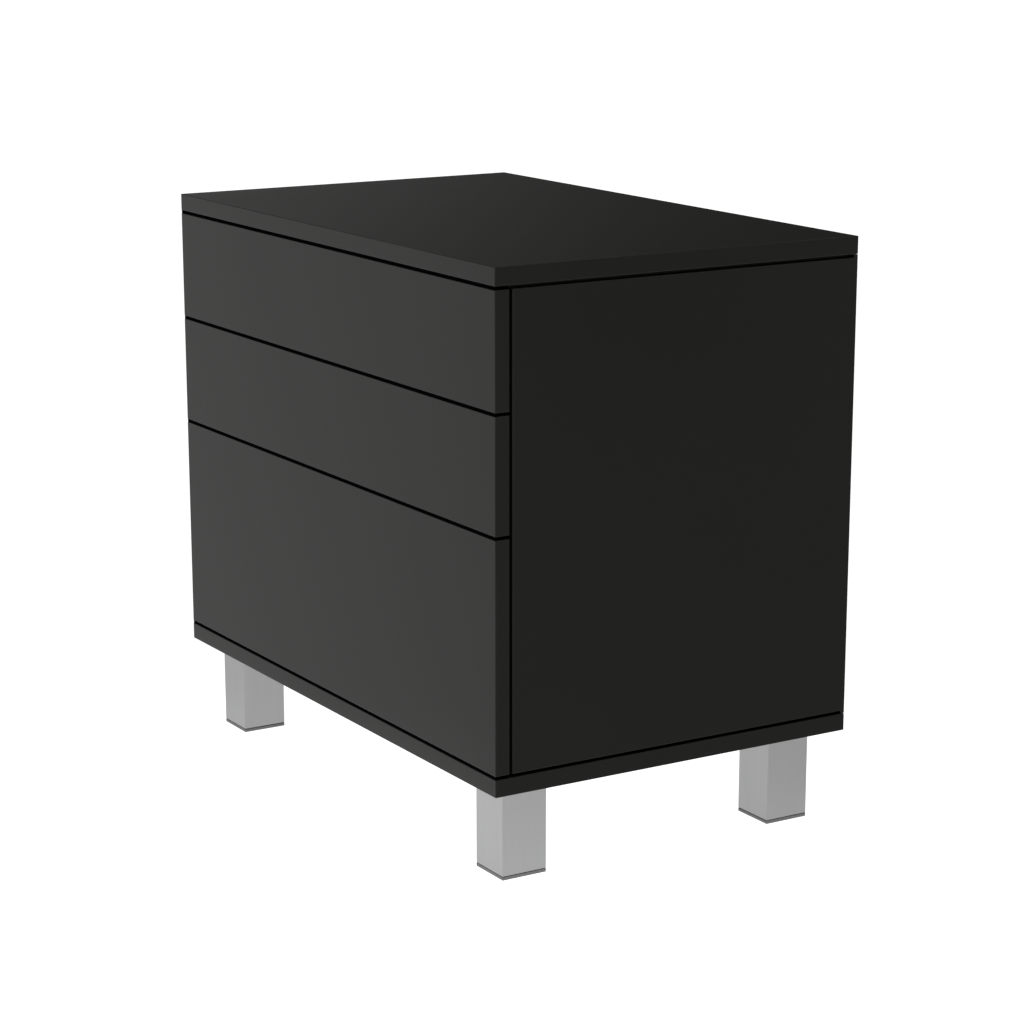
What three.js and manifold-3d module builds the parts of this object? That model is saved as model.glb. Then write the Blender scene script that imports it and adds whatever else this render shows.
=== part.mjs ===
// A free-standing nightstand with three handleless push-to-open drawers on ball-bearing slides.
// Two shallow drawers stand over a deep one. The carcass stands on four square aluminium legs.
// Millimetres, +Z up, the front faces -Y, and the origin is on the floor under the middle.
import * as THREE from "three";
import { mergeVertices } from "three/addons/utils/BufferGeometryUtils.js";
import Module from "manifold-3d";

const wasm = await Module();
wasm.setup();

// --- driving dimensions ---
const bodyWidth = 600;
const bodyDepth = 374;
const bodyHeight = 455; // carcass without the legs
const boardThickness = 16; // top, bottom and sides
const frontThickness = 14;
const shadowGap = 3; // under the top, between the fronts and over the bottom board
const pushGap = 3; // between a drawer front and the carcass behind it, for the push that opens it
const rebateDepth = 6; // how far a shadow gap runs into a side panel
const rebateStop = 4; // from the rear edge of a side panel to the end of its shadow gaps
const backThickness = 8;
const backInset = 10; // from the rear edges of the boards to the back panel
const grooveDepth = 6; // for the back panel, in the carcass boards
const fit = 0.3; // clearance wherever two pieces touch
const past = 1; // how far a cut runs beyond the face that it opens

const legSide = 45;
const legHeight = 87;
const legWall = 2;
const legCorner = 1.5; // radius on the outside of the tube
const legHollowCorner = 0.5;
const plugCorner = 1;
const legInsetX = 25;
const legInsetY = 22;
const capHeight = 3.5; // the part of a foot cap that shows
const capPlug = 14; // the part that is pushed into the tube
const insertHeight = 20;
const boltRadius = 4;
const boltHeadRadius = 6.5;
const boltHeadHeight = 5;
const boltInBoard = 12;

const slideSpace = 13; // between a side panel and a drawer side
const slideHeight = 45;
const slideSheet = 1.2;
const slideLip = 2.6;
const slideStep = 2.1; // between the webs, and between the lips, of nested members
const slideSetback = 2; // from the front edge of a side panel to the slide
const ballRace = 3.7; // between the flanges of nested members
const latchRoom = 39; // behind the drawer boxes

const drawerWall = 12;
const drawerBase = 4;
const drawerBaseRise = 8; // from the lower edge of a drawer side to the base panel
const drawerGroove = 5;
const drawerFoot = 12; // from the lower edge of a front to the lower edge of the drawer side
const drawerHead = 12.5; // from the top edge of a front down to the top of the drawer side

const latchWidth = 22;
const latchPlate = 3;
const latchPlateHeight = 48;
const latchLength = 34;
const plungerRadius = 4;
const tipRadius = 6;
const tipThickness = 3;
const pushStroke = 1.5; // how far a drawer is pushed in to free its latch

// --- places that follow from them ---
const halfWidth = bodyWidth / 2;
const halfDepth = bodyDepth / 2;
const underside = legHeight;
const crown = legHeight + bodyHeight;
const floorTop = underside + boardThickness;
const ceiling = crown - boardThickness;
const frontFace = -halfDepth;
const frontBack = frontFace + frontThickness;
const sideFront = frontBack + pushGap;
const sideInner = halfWidth - boardThickness;
const backRear = halfDepth - backInset;
const backFront = backRear - backThickness;
const slideLength = backFront - sideFront - latchRoom;
const boxOuter = sideInner - slideSpace; // outer face of a drawer side
const boxInner = boxOuter - drawerWall;
const boxFront = frontBack + fit;
const boxRear = frontBack + slideLength;
const pitch = (ceiling - floorTop - shadowGap) / 4; // a shallow front and one gap

// --- materials ---
const finish = (color, roughness, metalness = 0) =>
  new THREE.MeshStandardMaterial({ color, roughness, metalness });
const blackBoard = finish(0x1c1c1c, 0.35);
const drawerBoard = finish(0x2a2a2b, 0.55);
const hardboard = finish(0x303031, 0.6);
const aluminium = finish(0xb4b4b4, 0.4, 0.9);
const greyPlastic = finish(0x747474, 0.55);
const blackPlastic = finish(0x222222, 0.5);
const zincSteel = finish(0xa9adb0, 0.35, 1);

// --- solids ---
// A closed three.js geometry as a solid that can be cut.
function solidOf(geometry) {
  const bare = geometry.clone();
  bare.deleteAttribute("normal");
  bare.deleteAttribute("uv");
  const merged = mergeVertices(bare, 1e-4);
  const vertProperties = merged.attributes.position.array;
  const triVerts = new Uint32Array(merged.index.array);
  return new wasm.Manifold(new wasm.Mesh({ numProp: 3, vertProperties, triVerts }));
}

function geometryOf(solid) {
  const mesh = solid.getMesh();
  const geometry = new THREE.BufferGeometry();
  geometry.setAttribute("position", new THREE.BufferAttribute(mesh.vertProperties, 3));
  geometry.setIndex(new THREE.BufferAttribute(mesh.triVerts, 1));
  geometry.computeVertexNormals();
  return geometry;
}

// A block between two limits on each axis, each pair in either order.
function block([x0, x1], [y0, y1], [z0, z1]) {
  const size = [Math.abs(x1 - x0), Math.abs(y1 - y0), Math.abs(z1 - z0)];
  return new THREE.BoxGeometry(...size).translate((x0 + x1) / 2, (y0 + y1) / 2, (z0 + z1) / 2);
}

// A cylinder along +Y from y0 to y1, or along +Z from z0 to z1.
const roundSides = 24;
function rodAlongY(radius, x, z, y0, y1) {
  const rod = new THREE.CylinderGeometry(radius, radius, y1 - y0, roundSides);
  return rod.translate(x, (y0 + y1) / 2, z);
}
function rodAlongZ(radius, x, y, z0, z1) {
  const rod = new THREE.CylinderGeometry(radius, radius, z1 - z0, roundSides);
  return rod.rotateX(Math.PI / 2).translate(x, y, (z0 + z1) / 2);
}

const cut = (geometry, ...cutters) =>
  geometryOf(cutters.reduce((left, cutter) => left.subtract(solidOf(cutter)), solidOf(geometry)));
const join = (geometry, ...others) =>
  geometryOf(others.reduce((whole, other) => whole.add(solidOf(other)), solidOf(geometry)));

// An outline of [x, z] points, drawn out along Y from y0 to y1.
function extrudeAlongY(points, y0, y1) {
  const shape = new THREE.Shape(points.map(([x, z]) => new THREE.Vector2(x, z)));
  const drawn = new THREE.ExtrudeGeometry(shape, { depth: y1 - y0, bevelEnabled: false });
  return drawn.rotateX(Math.PI / 2).translate(0, y1, 0);
}

// A square outline with rounded corners, centred on the origin.
function roundedSquare(Path, side, radius) {
  const h = side / 2;
  const path = new Path();
  path.moveTo(h - radius, -h);
  path.absarc(h - radius, -h + radius, radius, -Math.PI / 2, 0, false);
  path.absarc(h - radius, h - radius, radius, 0, Math.PI / 2, false);
  path.absarc(-h + radius, h - radius, radius, Math.PI / 2, Math.PI, false);
  path.absarc(-h + radius, -h + radius, radius, Math.PI, 1.5 * Math.PI, false);
  return path;
}

// A rounded square post from z0 to z1, with a square hole of side `hollow` if that is given.
function squarePost(side, radius, z0, z1, hollow = 0) {
  const shape = roundedSquare(THREE.Shape, side, radius);
  if (hollow) shape.holes.push(roundedSquare(THREE.Path, hollow, legHollowCorner));
  const settings = { depth: z1 - z0, bevelEnabled: false, curveSegments: 4 };
  return new THREE.ExtrudeGeometry(shape, settings).translate(0, 0, z0);
}

const nightstand = new THREE.Group();
const ends = [
  ["left", -1],
  ["right", 1],
];

function add(name, geometry, material, x = 0, y = 0) {
  const mesh = new THREE.Mesh(geometry, material);
  mesh.name = name;
  mesh.position.set(x, y, 0);
  nightstand.add(mesh);
}

// --- carcass ---
const backGrooveY = [backFront - fit, backRear + fit];
const backHalfWidth = sideInner + grooveDepth - fit;

function carcassBoard(name, z0, z1, grooveZ, boltHoles = []) {
  const board = block([-halfWidth, halfWidth], [frontFace, halfDepth], [z0, z1]);
  const groove = block([-backHalfWidth - fit, backHalfWidth + fit], backGrooveY, grooveZ);
  add(name, cut(board, groove, ...boltHoles), blackBoard);
}

// The outer edges of a side panel are stepped back at the top and the bottom: the shadow gaps.
// Each step stops short of the rear edge, so that no light shows through it from the side.
function sidePanel(name, sign) {
  const z0 = floorTop + fit;
  const z1 = ceiling - fit;
  const outer = sign * halfWidth;
  const inner = sign * sideInner;
  const panel = block([inner, outer], [sideFront, halfDepth], [z0, z1]);
  const stepX = [outer - sign * rebateDepth, outer + sign * past];
  const stepY = [sideFront - past, halfDepth - rebateStop];
  const lowStep = block(stepX, stepY, [z0 - past, floorTop + shadowGap]);
  const highStep = block(stepX, stepY, [ceiling - shadowGap, z1 + past]);
  const groove = block(
    [inner - sign * past, inner + sign * grooveDepth],
    backGrooveY,
    [z0 - past, z1 + past],
  );
  add(name, cut(panel, lowStep, highStep, groove), blackBoard);
}

const legPlaces = [
  ["front_left", -1, -1],
  ["front_right", 1, -1],
  ["rear_left", -1, 1],
  ["rear_right", 1, 1],
].map(([name, x, y]) => ({
  name,
  x: x * (halfWidth - legInsetX - legSide / 2),
  y: y * (halfDepth - legInsetY - legSide / 2),
}));

const legBoltHoles = legPlaces.map(({ x, y }) =>
  rodAlongZ(boltRadius + fit, x, y, underside - past, underside + boltInBoard + fit),
);
carcassBoard("top_board", ceiling, crown, [ceiling - past, ceiling + grooveDepth]);
carcassBoard("bottom_board", underside, floorTop, [floorTop - grooveDepth, floorTop + past], legBoltHoles);
for (const [side, sign] of ends) sidePanel("side_panel_" + side, sign);
add(
  "back_panel",
  block(
    [-backHalfWidth, backHalfWidth],
    [backFront, backRear],
    [floorTop - grooveDepth + fit, ceiling + grooveDepth - fit],
  ),
  blackBoard,
);

// --- legs ---
// A tube, a cap pressed into its foot, and an insert in its head that a bolt holds to the board.
const tubeHollow = legSide - 2 * legWall;
const plugSide = tubeHollow - 2 * fit;
const tubeFoot = capHeight + fit;
const tubeHead = underside - fit;
const insertFoot = tubeHead - insertHeight;

for (const { name, x, y } of legPlaces) {
  const tube = squarePost(legSide, legCorner, tubeFoot, tubeHead, tubeHollow);
  add("leg_tube_" + name, tube, aluminium, x, y);
  const capFlange = squarePost(legSide, legCorner, 0, capHeight);
  const plug = squarePost(plugSide, plugCorner, capHeight / 2, capHeight + capPlug);
  add("foot_cap_" + name, join(capFlange, plug), greyPlastic, x, y);
  const insert = squarePost(plugSide, plugCorner, insertFoot, tubeHead);
  const boltHole = rodAlongZ(boltRadius + fit, 0, 0, insertFoot - past, tubeHead + past);
  add("leg_insert_" + name, cut(insert, boltHole), blackPlastic, x, y);
  const headTop = insertFoot - fit;
  const boltHead = rodAlongZ(boltHeadRadius, 0, 0, headTop - boltHeadHeight, headTop);
  const shank = rodAlongZ(boltRadius, 0, 0, headTop - boltHeadHeight / 2, underside + boltInBoard);
  add("leg_bolt_" + name, join(boltHead, shank), zincSteel, x, y);
}

// --- slides ---
// Each member is a channel: a web with two flanges, whose lips turn in towards its middle line.
// webAt and tipAt are distances from the side panel's inner face.
function channel(sign, webAt, tipAt, halfHeight, z) {
  const towards = Math.sign(tipAt - webAt);
  const x = (distance) => sign * (sideInner - distance);
  const webBack = x(webAt);
  const webFront = x(webAt + towards * slideSheet);
  const tipBack = x(tipAt - towards * slideSheet);
  const tip = x(tipAt);
  const low = z - halfHeight;
  const high = z + halfHeight;
  return [
    [webBack, low],
    [tip, low],
    [tip, low + slideLip],
    [tipBack, low + slideLip],
    [tipBack, low + slideSheet],
    [webFront, low + slideSheet],
    [webFront, high - slideSheet],
    [tipBack, high - slideSheet],
    [tipBack, high - slideLip],
    [tip, high - slideLip],
    [tip, high],
    [webBack, high],
  ];
}

const slideY0 = sideFront + slideSetback;
const cabinetHalf = slideHeight / 2;
const middleHalf = cabinetHalf - slideSheet - ballRace;
const drawerHalf = middleHalf - slideSheet - ballRace;

function slide(tier, side, sign, z) {
  const members = [
    ["cabinet_member", fit, slideSpace - 2 * slideStep, cabinetHalf],
    ["middle_member", fit + slideStep, slideSpace - slideStep, middleHalf],
    ["drawer_member", slideSpace - fit, fit + 2 * slideStep, drawerHalf],
  ];
  for (const [kind, webAt, tipAt, halfHeight] of members) {
    const section = channel(sign, webAt, tipAt, halfHeight, z);
    const name = `slide_${tier}_${side}_${kind}`;
    add(name, extrudeAlongY(section, slideY0, slideY0 + slideLength), zincSteel);
  }
}

// --- drawers ---
// A box of two grooved sides, a back and a base panel, screwed to the back of a wide front.
function drawer(tier, frontLow, frontHigh) {
  const sideLow = frontLow + drawerFoot;
  const sideHigh = frontHigh - drawerHead;
  const baseLow = sideLow + drawerBaseRise;
  const baseHigh = baseLow + drawerBase;
  const grooveZ = [baseLow - fit, baseHigh + fit];
  const baseHalf = boxInner + drawerGroove - fit;

  const front = block([-halfWidth, halfWidth], [frontFace, frontBack], [frontLow, frontHigh]);
  const frontGroove = block(
    [-baseHalf - fit, baseHalf + fit],
    [frontBack - drawerGroove, frontBack + past],
    grooveZ,
  );
  add(`drawer_${tier}_front`, cut(front, frontGroove), blackBoard);

  for (const [side, sign] of ends) {
    const outer = sign * boxOuter;
    const inner = sign * boxInner;
    const grooved = sign * (boxInner + drawerGroove);
    const outline = [
      [outer, sideLow],
      [outer, sideHigh],
      [inner, sideHigh],
      [inner, grooveZ[1]],
      [grooved, grooveZ[1]],
      [grooved, grooveZ[0]],
      [inner, grooveZ[0]],
      [inner, sideLow],
    ];
    add(`drawer_${tier}_side_${side}`, extrudeAlongY(outline, boxFront, boxRear), drawerBoard);
    slide(tier, side, sign, (sideLow + sideHigh) / 2);
  }

  const base = block(
    [-baseHalf, baseHalf],
    [frontBack - drawerGroove + fit, boxRear],
    [baseLow, baseHigh],
  );
  add(`drawer_${tier}_base`, base, hardboard);
  const back = block(
    [-boxInner + fit, boxInner - fit],
    [boxRear - drawerWall, boxRear],
    [baseHigh + fit, sideHigh],
  );
  add(`drawer_${tier}_back`, back, drawerBoard);
  pushLatch(tier, (sideLow + sideHigh) / 2);
}

// A housing screwed to the back panel, with a sprung plunger that pushes the drawer out.
function pushLatch(tier, z) {
  const rear = backFront - fit;
  const mouth = rear - latchLength;
  const half = latchWidth / 2;
  const barrel = block([-half, half], [mouth, rear], [z - half, z + half]);
  const plate = block(
    [-half, half],
    [rear - latchPlate, rear],
    [z - latchPlateHeight / 2, z + latchPlateHeight / 2],
  );
  const boreEnd = rear - latchPlate;
  const bore = rodAlongY(plungerRadius + fit, 0, z, mouth - past, boreEnd);
  add(`latch_${tier}_housing`, cut(join(barrel, plate), bore), blackPlastic);

  const tipFront = boxRear + pushStroke + fit;
  const tip = rodAlongY(tipRadius, 0, z, tipFront, tipFront + tipThickness);
  const shaftRear = boreEnd - pushStroke - 2 * fit;
  const shaft = rodAlongY(plungerRadius, 0, z, tipFront + tipThickness / 2, shaftRear);
  add(`latch_${tier}_plunger`, join(tip, shaft), greyPlastic);
}

const firstFront = floorTop + shadowGap;
const tiers = [
  ["bottom", 0, 2],
  ["middle", 2, 3],
  ["top", 3, 4],
];
for (const [tier, from, to] of tiers)
  drawer(tier, firstFront + from * pitch, firstFront + to * pitch - shadowGap);

export default nightstand;
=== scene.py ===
import math

import bmesh
import bpy
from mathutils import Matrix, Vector


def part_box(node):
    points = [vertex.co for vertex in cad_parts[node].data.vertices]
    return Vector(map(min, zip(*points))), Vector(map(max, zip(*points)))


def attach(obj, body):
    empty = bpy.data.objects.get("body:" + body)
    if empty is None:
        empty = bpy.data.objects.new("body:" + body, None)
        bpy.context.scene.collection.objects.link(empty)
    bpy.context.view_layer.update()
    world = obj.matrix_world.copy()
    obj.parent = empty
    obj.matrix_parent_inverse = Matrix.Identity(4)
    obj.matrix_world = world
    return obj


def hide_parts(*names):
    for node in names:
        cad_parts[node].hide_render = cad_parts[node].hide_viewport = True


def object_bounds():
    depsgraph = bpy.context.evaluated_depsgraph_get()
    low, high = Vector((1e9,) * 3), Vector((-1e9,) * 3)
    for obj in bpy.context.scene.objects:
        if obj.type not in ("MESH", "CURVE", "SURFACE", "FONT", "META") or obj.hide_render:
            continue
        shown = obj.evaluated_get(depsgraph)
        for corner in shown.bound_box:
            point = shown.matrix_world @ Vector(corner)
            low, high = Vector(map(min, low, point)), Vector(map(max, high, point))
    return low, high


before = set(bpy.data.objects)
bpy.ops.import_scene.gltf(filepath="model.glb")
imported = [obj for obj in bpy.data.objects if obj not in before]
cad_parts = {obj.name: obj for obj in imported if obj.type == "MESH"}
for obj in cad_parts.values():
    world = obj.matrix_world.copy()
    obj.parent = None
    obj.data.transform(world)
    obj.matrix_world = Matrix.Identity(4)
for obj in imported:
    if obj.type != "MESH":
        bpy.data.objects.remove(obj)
cadLow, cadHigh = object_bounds()
middle = (cadLow + cadHigh) / 2
mm = 0.001
fit = 0.3 * mm    # clearance where two pieces touch
tiers = ("top", "middle", "bottom")
ends = {"left": -1, "right": 1}
feet = ("front_left", "front_right", "rear_left", "rear_right")
print("frame loaded:", len(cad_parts), "nodes")

# the camera stands off the front right corner, a little above the top
camera = {
    "azimuth": 58.51,
    "elevation": 14.54,
    "distance": 2.72,
    "aimOffset": (0.0171, 0.0043, -0.0853),
    "lens": 99.5,
    "shift": (-0.0016, 0.0725),    # a rising front, which leaves the uprights less tilted
}


def standoff(azimuth, elevation, distance):    # from the object's middle to the camera
    a = math.radians(azimuth)
    e = math.radians(elevation)
    return distance * Vector((math.sin(a) * math.cos(e), -math.cos(a) * math.cos(e), math.sin(e)))


def placeCamera():
    away = standoff(camera["azimuth"], camera["elevation"], camera["distance"])
    data = bpy.data.cameras.new("cornerCamera")
    data.lens = camera["lens"]
    data.sensor_width = 36
    data.shift_x, data.shift_y = camera["shift"]
    eye = bpy.data.objects.new("cornerCamera", data)
    eye.location = middle + Vector(camera["aimOffset"]) + away
    eye.rotation_euler = (-away).to_track_quat("-Z", "Y").to_euler()
    bpy.context.collection.objects.link(eye)
    bpy.context.scene.camera = eye


placeCamera()
print("camera placed")


def linear(hexColour):    # an sRGB hex colour as the linear values that a shader takes
    steps = [int(hexColour[i:i + 2], 16) / 255 for i in (1, 3, 5)]
    return [s / 12.92 if s <= 0.04045 else ((s + 0.055) / 1.055) ** 2.4 for s in steps] + [1.0]


def addNode(tree, kind, values={}, links={}, **settings):
    node = tree.nodes.new(kind)
    for name, value in settings.items():
        setattr(node, name, value)
    for socket, value in values.items():
        node.inputs[socket].default_value = value
    for socket, source in links.items():
        tree.links.new(source, node.inputs[socket])
    return node


def startMaterial(name):
    material = bpy.data.materials.new(name)
    material.use_nodes = True
    tree = material.node_tree
    tree.nodes.clear()
    return material, tree, addNode(tree, "ShaderNodeTexCoord").outputs["Object"]


def closeMaterial(tree, tones, roughness, drift, grain, depth, fixed):
    # the drift pattern carries the surface from one tone and gloss to another;
    # the grain pattern stands up by its depth
    tone = addNode(
        tree,
        "ShaderNodeMix",
        {6: linear(tones[0]), 7: linear(tones[1])},
        {0: drift},
        data_type="RGBA",
    )
    gloss = addNode(
        tree,
        "ShaderNodeMapRange",
        {"From Min": 0.25, "From Max": 0.75, "To Min": roughness[0], "To Max": roughness[1]},
        {"Value": drift},
    )
    bump = addNode(tree, "ShaderNodeBump", {"Distance": depth}, {"Height": grain})
    links = {
        "Base Color": tone.outputs[2],
        "Roughness": gloss.outputs["Result"],
        "Normal": bump.outputs["Normal"],
    }
    shader = addNode(tree, "ShaderNodeBsdfPrincipled", fixed, links)
    addNode(tree, "ShaderNodeOutputMaterial", links={"Surface": shader.outputs["BSDF"]})


satinLacquer = {
    "face": ("#131311", "#161614"),
    # painted highlight: the arrises are given a lighter tone than the faces
    "arris": ("#1a1a19", "#2a2a29"),
    "specular": 0.088,
    "roughness": (0.13, 0.17),
    "peel": 3.5 * mm,
    "peelDepth": 0.01 * mm,
    "cloud": 140 * mm,
}


def makeLacquer(name, place):
    # black satin lacquer sprayed on fibreboard: no grain, only a faint orange peel in an even sheen;
    # the arrises get a lighter tone than the faces, a painted highlight along the edges
    material, tree, where = startMaterial(name)
    cloud = addNode(
        tree,
        "ShaderNodeTexNoise",
        {"Scale": 1 / satinLacquer["cloud"], "Detail": 3},
        {"Vector": where},
    )
    peel = addNode(
        tree,
        "ShaderNodeTexNoise",
        {"Scale": 1 / satinLacquer["peel"], "Detail": 1},
        {"Vector": where},
    )
    closeMaterial(
        tree,
        satinLacquer[place],
        satinLacquer["roughness"],
        cloud.outputs["Fac"],
        peel.outputs["Fac"],
        satinLacquer["peelDepth"],
        {"Specular IOR Level": satinLacquer["specular"]},
    )
    return material


melamine = {
    "board": ("#2b2c2d", "#38393a"),
    "edgeBand": ("#323334", "#3c3d3e"),
    "base": ("#343536", "#3a3b3d"),
    "ior": 1.55,
    "roughness": (0.46, 0.6),
    "pearl": 0.9 * mm,
    "pearlDepth": 0.03 * mm,
    "drift": 60 * mm,
}


def makeMelamine(name, place):
    # anthracite melamine on chipboard, pressed with a pearl texture that breaks up its sheen
    material, tree, where = startMaterial(name)
    pearl = addNode(tree, "ShaderNodeTexVoronoi", {"Scale": 1 / melamine["pearl"]}, {"Vector": where})
    drift = addNode(
        tree,
        "ShaderNodeTexNoise",
        {"Scale": 1 / melamine["drift"], "Detail": 4},
        {"Vector": where},
    )
    closeMaterial(
        tree,
        melamine[place],
        melamine["roughness"],
        drift.outputs["Fac"],
        pearl.outputs["Distance"],
        melamine["pearlDepth"],
        {"IOR": melamine["ior"]},
    )
    return material


anodised = {
    "tones": ("#949494", "#909091"),
    "roughness": (0.3, 0.36),
    "lineWidth": 0.7 * mm,
    "lineLength": 60 * mm,
    "lineDepth": 0.003 * mm,
}


def makeAnodised(name):
    # satin anodised aluminium, brushed along the tube: pale, soft and even, with fine upright lines
    material, tree, where = startMaterial(name)
    drawn = addNode(
        tree,
        "ShaderNodeMapping",
        {"Scale": (1, 1, anodised["lineWidth"] / anodised["lineLength"])},
        {"Vector": where},
    )
    line = addNode(
        tree,
        "ShaderNodeTexNoise",
        {"Scale": 1 / anodised["lineWidth"], "Detail": 2},
        {"Vector": drawn.outputs["Vector"]},
    )
    closeMaterial(
        tree,
        anodised["tones"],
        anodised["roughness"],
        line.outputs["Fac"],
        line.outputs["Fac"],
        anodised["lineDepth"],
        {"Metallic": 1},
    )
    return material


plastics = {
    "moulded grey polypropylene": {
        "tones": ("#737374", "#79797a"),
        "roughness": (0.5, 0.6),
        "grain": 0.6 * mm,
        "specular": 0.35,
    },
    "moulded black nylon": {
        "tones": ("#151516", "#1c1c1d"),
        "roughness": (0.42, 0.52),
        "grain": 0.5 * mm,
        "specular": 0.35,
    },
    "moulded grey acetal": {
        "tones": ("#7f8084", "#898a8e"),
        "roughness": (0.28, 0.36),
        "grain": 0.8 * mm,
        "specular": 0.35,
    },
    "extruded black soft vinyl, painted gap shade": {    # a flocked face, near black with hardly any sheen: painted shade in the gaps that the lips close
        "tones": ("#030303", "#050505"),
        "roughness": (0.8, 0.9),
        "grain": 0.4 * mm,
        "specular": 0,
    },
}
moulding = {"ior": 1.49, "flow": 25 * mm, "grainDepth": 0.02 * mm}


def makePlastic(name):
    # plastic with the fine eroded grain of its mould or die, so its highlights are soft
    kind = plastics[name]
    material, tree, where = startMaterial(name)
    grain = addNode(
        tree,
        "ShaderNodeTexNoise",
        {"Scale": 1 / kind["grain"], "Detail": 2},
        {"Vector": where},
    )
    flow = addNode(
        tree,
        "ShaderNodeTexNoise",
        {"Scale": 1 / moulding["flow"], "Detail": 2},
        {"Vector": where},
    )
    closeMaterial(
        tree,
        kind["tones"],
        kind["roughness"],
        flow.outputs["Fac"],
        grain.outputs["Fac"],
        moulding["grainDepth"],
        {"IOR": moulding["ior"], "Specular IOR Level": kind["specular"]},
    )
    return material


metals = {
    "zinc-plated rolled steel": {
        "tones": ("#bdc0c3", "#9fa3a8"),
        "roughness": (0.24, 0.42),
        "size": 2 * mm,
    },
    "ground bearing steel": {
        "tones": ("#cfd0d2", "#bfc0c2"),
        "roughness": (0.1, 0.18),
        "size": 1 * mm,
    },
    "die-cast zinc": {
        "tones": ("#a9abac", "#8a8d8f"),
        "roughness": (0.38, 0.52),
        "size": 1.2 * mm,
    },
}
rolling = {"stretch": (1, 0.06, 1), "depth": 0.005 * mm}    # steel strip is rolled along the slides


def makeMetal(name):
    # bare or plated metal, whose tone and gloss wander a little in streaks along the drawers' travel
    kind = metals[name]
    material, tree, where = startMaterial(name)
    drawn = addNode(tree, "ShaderNodeMapping", {"Scale": rolling["stretch"]}, {"Vector": where})
    mottle = addNode(
        tree,
        "ShaderNodeTexNoise",
        {"Scale": 1 / kind["size"], "Detail": 3},
        {"Vector": drawn.outputs["Vector"]},
    )
    closeMaterial(
        tree,
        kind["tones"],
        kind["roughness"],
        mottle.outputs["Fac"],
        mottle.outputs["Fac"],
        rolling["depth"],
        {"Metallic": 1},
    )
    return material


lacquer = makeLacquer("sprayed satin lacquer", "face")
# the arris material is a painted highlight on the rounded edges of the boards
lacquerArrisHighlight = makeLacquer("sprayed satin lacquer, painted highlight on the arris", "arris")
board = makeMelamine("pressed anthracite melamine", "board")
edgeBand = makeMelamine("glued melamine edge band", "edgeBand")
baseBoard = makeMelamine("melamine-faced hardboard", "base")
aluminium = makeAnodised("brushed anodised aluminium")
greyPlastic = makePlastic("moulded grey polypropylene")
blackPlastic = makePlastic("moulded black nylon")
tipPlastic = makePlastic("moulded grey acetal")
# near-black vinyl with no sheen, used as painted shade in the shadow gaps
gapShadeVinyl = makePlastic("extruded black soft vinyl, painted gap shade")
zincSteel = makeMetal("zinc-plated rolled steel")
ballSteel = makeMetal("ground bearing steel")
castZinc = makeMetal("die-cast zinc")
print("materials made")


def deselectAll():
    if bpy.context.mode != "OBJECT":
        bpy.ops.object.mode_set(mode="OBJECT")
    bpy.ops.object.select_all(action="DESELECT")


def takeUp(piece):
    deselectAll()
    piece.select_set(True)
    bpy.context.view_layer.objects.active = piece


def settle(name):    # the new primitive gets its name, with its place in its mesh
    bpy.ops.object.transform_apply(location=True, rotation=True, scale=True)
    piece = bpy.context.object
    piece.name = name
    piece.data.name = name
    return piece


def addBlock(name, low, high):
    low, high = Vector(low), Vector(high)
    deselectAll()
    bpy.ops.mesh.primitive_cube_add(size=1, location=(low + high) / 2, scale=high - low)
    return settle(name)


def addRod(name, radius, start, end, sides=32):    # a cylinder from one point to another
    start, end = Vector(start), Vector(end)
    turn = (end - start).to_track_quat("Z", "Y").to_euler()
    deselectAll()
    bpy.ops.mesh.primitive_cylinder_add(
        vertices=sides,
        radius=radius,
        depth=(end - start).length,
        location=(start + end) / 2,
        rotation=turn,
    )
    return settle(name)


def openEdit(piece):
    takeUp(piece)
    bpy.ops.object.mode_set(mode="EDIT")
    bpy.ops.mesh.select_mode(type="FACE")
    bpy.ops.mesh.select_all(action="DESELECT")


def closeEdit():
    bpy.ops.object.mode_set(mode="OBJECT")


def pickFaces(piece, test):    # test is given each face's middle and its normal
    bpy.ops.mesh.select_mode(type="FACE")
    bpy.ops.mesh.select_all(action="DESELECT")
    shape = bmesh.from_edit_mesh(piece.data)
    for face in shape.faces:
        face.select_set(test(face.calc_center_median(), face.normal))
    shape.select_flush_mode()
    bmesh.update_edit_mesh(piece.data)


def pickEdges(piece, test):    # test is given each edge's middle and its direction
    bpy.ops.mesh.select_mode(type="EDGE")
    bpy.ops.mesh.select_all(action="DESELECT")
    shape = bmesh.from_edit_mesh(piece.data)
    for edge in shape.edges:
        start, end = (corner.co for corner in edge.verts)
        edge.select_set(test((start + end) / 2, (end - start).normalized()))
    shape.select_flush_mode()
    bmesh.update_edit_mesh(piece.data)


def pull(x=0, y=0, z=0):    # draws the picked faces out
    bpy.ops.mesh.extrude_region_move(TRANSFORM_OT_translate={"value": (x, y, z)})


def splitAt(**place):    # cuts new edges right across the open piece, as in splitAt(z=0.1)
    (axis, at), = place.items()
    normal = Vector([axis == a for a in "xyz"])
    bpy.ops.mesh.select_all(action="SELECT")
    bpy.ops.mesh.bisect(plane_co=normal * at, plane_no=normal)


def applyModifier(piece, kind, **settings):
    takeUp(piece)
    bpy.ops.object.modifier_add(type=kind)
    step = piece.modifiers[-1]
    for name, value in settings.items():
        setattr(step, name, value)
    bpy.ops.object.modifier_apply(modifier=step.name)


def joinPieces(pieces, name):
    takeUp(pieces[0])
    for piece in pieces:
        piece.select_set(True)
    bpy.ops.object.join()
    return settle(name)


edges = {"bevelFrom": 40, "smoothTo": 46}    # angles between faces, in degrees


def combine(piece, operation, *tools):    # UNION adds the tools, DIFFERENCE cuts them out
    for tool in tools:
        applyModifier(piece, "BOOLEAN", operation=operation, solver="EXACT", object=tool)
        takeUp(tool)
        bpy.ops.object.delete()


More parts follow.
